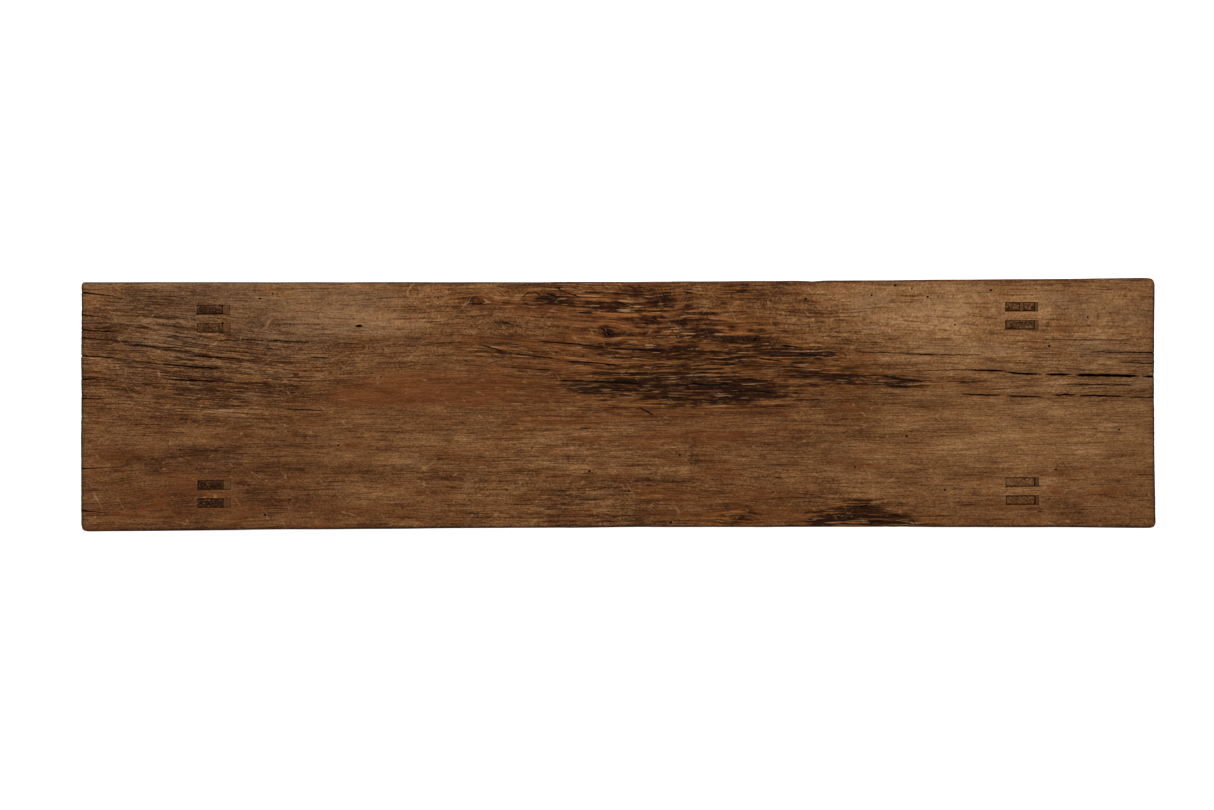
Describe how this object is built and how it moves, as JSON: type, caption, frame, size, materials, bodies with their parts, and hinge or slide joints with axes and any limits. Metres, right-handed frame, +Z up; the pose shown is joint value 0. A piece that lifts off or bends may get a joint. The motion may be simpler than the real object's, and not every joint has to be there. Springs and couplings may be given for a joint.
{
  "type": "backless bench",
  "caption": "Long backless bench: a thick plank seat on splayed legs with wedged through tenons, shaped aprons with spandrels, and end stretchers.",
  "frame": {"origin": "on the floor, under the middle of the bench", "axes": "+X runs along the bench towards its right end, +Y runs from the front to the rear across the seat, +Z is up"},
  "size_m": [1.5, 0.3712, 0.49],
  "materials": {
    "seat_wood": "worn, waxed old elm, stained and checked",
    "leg_wood": "worn, waxed old elm",
    "apron_wood": "worn, waxed old elm",
    "stretcher_wood": "worn, waxed old elm, rubbed smooth",
    "wedge_wood": "dry split wood",
    "peg_wood": "bamboo, darkened with age"
  },
  "bodies": {
    "root": {"seat_plank": "seat_wood", "leg_front_left": "leg_wood", "leg_front_right": "leg_wood", "leg_rear_left": "leg_wood", "leg_rear_right": "leg_wood", "wedge_front_left_inner": "wedge_wood", "wedge_front_left_outer": "wedge_wood", "wedge_front_right_inner": "wedge_wood", "wedge_front_right_outer": "wedge_wood", "wedge_rear_left_inner": "wedge_wood", "wedge_rear_left_outer": "wedge_wood", "wedge_rear_right_inner": "wedge_wood", "wedge_rear_right_outer": "wedge_wood", "kerf_wedge_rear_right": "wedge_wood", "apron_strip_front": "apron_wood", "apron_strip_rear": "apron_wood", "spandrel_front_left": "apron_wood", "spandrel_front_right": "apron_wood", "spandrel_rear_left": "apron_wood", "spandrel_rear_right": "apron_wood", "end_apron_left": "apron_wood", "end_apron_right": "apron_wood", "upper_stretcher_left": "stretcher_wood", "upper_stretcher_right": "stretcher_wood", "lower_stretcher_left": "stretcher_wood", "lower_stretcher_right": "stretcher_wood", "stretcher_pegs": "peg_wood", "spandrel_pegs": "peg_wood", "apron_pegs": "peg_wood"}
  },
  "joints": []
}
